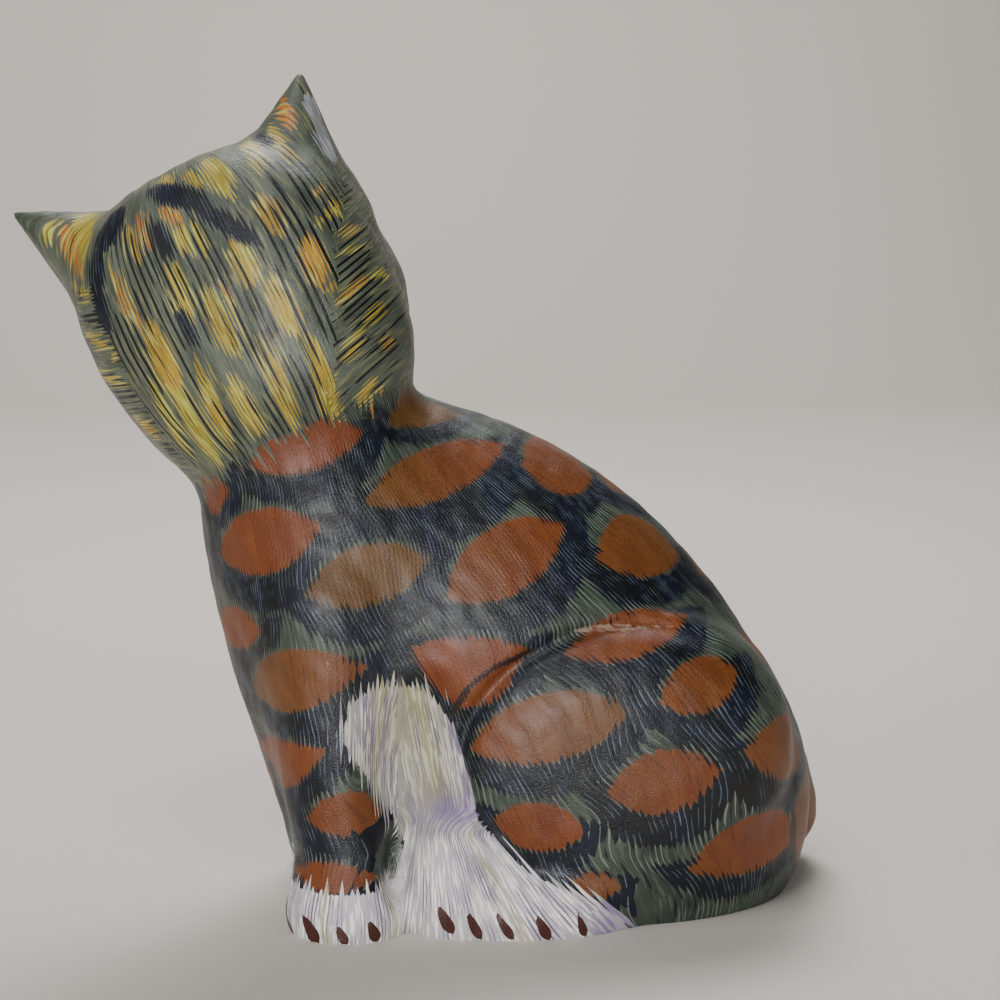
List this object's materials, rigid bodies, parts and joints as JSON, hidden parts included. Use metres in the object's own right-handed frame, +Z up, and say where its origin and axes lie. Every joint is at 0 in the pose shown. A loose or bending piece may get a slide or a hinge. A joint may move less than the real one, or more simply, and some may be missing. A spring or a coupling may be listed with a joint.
{
  "type": "wooden cat figurine",
  "caption": "Carved wooden cat sitting on its haunches with its head turned back and tipped, painted with furry spots.",
  "frame": {"origin": "point on the flat underside, under the middle of the trunk", "axes": "the body faces -X, the left flank faces -Y, and +Z is up"},
  "size_m": [0.1507, 0.064, 0.1493],
  "materials": {
    "painted_wood": "painted, under a satin varnish"
  },
  "bodies": {
    "root": {"cat": "painted_wood"}
  },
  "joints": []
}
